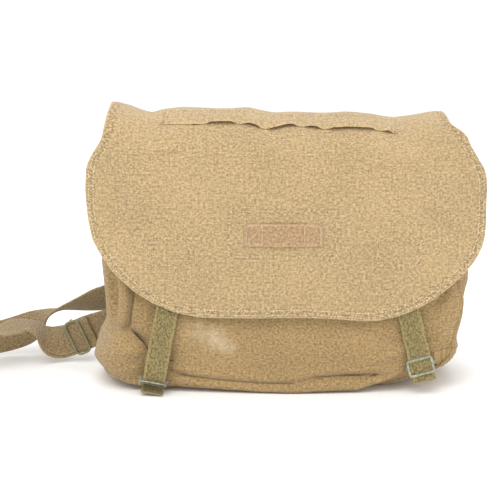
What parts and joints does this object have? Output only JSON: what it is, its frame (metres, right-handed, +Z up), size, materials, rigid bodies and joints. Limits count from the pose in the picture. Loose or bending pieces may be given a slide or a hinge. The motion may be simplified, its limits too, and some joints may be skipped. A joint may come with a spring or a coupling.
{
  "type": "mail sack",
  "caption": "Canvas mail shoulder bag with a full cover flap, label loop, webbing closures with metal slide buckles, and an adjustable canvas shoulder strap.",
  "frame": {"origin": "on the floor at the middle of the standing bag", "axes": "+X to the right seen from the front, +Y from the front to the back, +Z up"},
  "size_m": [0.6497, 0.2025, 0.3282],
  "materials": {
    "canvas_flap": "coarse woven linen",
    "canvas_body": "coarse woven linen, browner",
    "canvas_strap": "woven linen strap",
    "webbing": "olive herringbone webbing",
    "buckle_metal": "worn grey-green paint",
    "wire_metal": "dull lacquered wire"
  },
  "bodies": {
    "bag": {"back_panel": "canvas_body", "front_panel": "canvas_body", "gusset_left": "canvas_body", "gusset_right": "canvas_body", "bottom_panel": "canvas_body", "strap_anchor_left": "canvas_body", "strap_anchor_right": "canvas_body", "shoulder_strap_long": "canvas_strap", "shoulder_strap_short": "canvas_strap"},
    "flap_top": {"flap_top": "canvas_flap", "top_strip": "canvas_flap"},
    "flap_cover": {"flap_cover": "canvas_flap", "label_loop": "canvas_flap", "label_backing": "canvas_body", "closure_backing_left": "canvas_body", "closure_backing_right": "canvas_body", "closure_strap_left": "webbing", "closure_strap_right": "webbing"},
    "closure_left": {"closure_end_left": "webbing"},
    "closure_right": {"closure_end_right": "webbing"},
    "buckle_left": {"buckle_frame_left": "buckle_metal", "buckle_bar_left": "buckle_metal", "buckle_tab_left": "webbing"},
    "buckle_right": {"buckle_frame_right": "buckle_metal", "buckle_bar_right": "buckle_metal", "buckle_tab_right": "webbing"},
    "adjuster": {"adjuster_frame": "wire_metal", "adjuster_bar": "wire_metal"}
  },
  "joints": [
    {"name": "flap_open", "type": "hinge", "parent": "bag", "child": "flap_top", "pos_m": [0, 0.06, 0.318], "axis": [-1, 0, 0], "range_deg": [0, 150]},
    {"name": "flap_fold", "type": "hinge", "parent": "flap_top", "child": "flap_cover", "pos_m": [0, -0.036, 0.3082], "axis": [-1, 0, 0], "range_deg": [0, 85]},
    {"name": "closure_left_lift", "type": "hinge", "parent": "flap_cover", "child": "closure_left", "pos_m": [-0.1345, -0.0554, 0.0948], "axis": [-0.9816, 0, 0.1908], "range_deg": [0, 80], "deforming": ["closure_end_left"]},
    {"name": "closure_right_lift", "type": "hinge", "parent": "flap_cover", "child": "closure_right", "pos_m": [0.1455, -0.0554, 0.0948], "axis": [-0.9613, 0, -0.2756], "range_deg": [0, 80], "deforming": ["closure_end_right"]},
    {"name": "buckle_left_swing", "type": "hinge", "parent": "bag", "child": "buckle_left", "pos_m": [-0.15045, -0.04964, 0.01584], "axis": [0.9816, 0, -0.1908], "range_deg": [-20, 15]},
    {"name": "buckle_right_swing", "type": "hinge", "parent": "bag", "child": "buckle_right", "pos_m": [0.16399, -0.05319, 0.0201], "axis": [0.9613, 0, 0.2756], "range_deg": [0, 80]},
    {"name": "adjuster_tilt", "type": "hinge", "parent": "bag", "child": "adjuster", "pos_m": [-0.256, 0.0746, 0.033], "axis": [-0.4067, 0, 0.9135], "range_deg": [-10, 10], "deforming": ["shoulder_strap_long", "shoulder_strap_short"]}
  ]
}
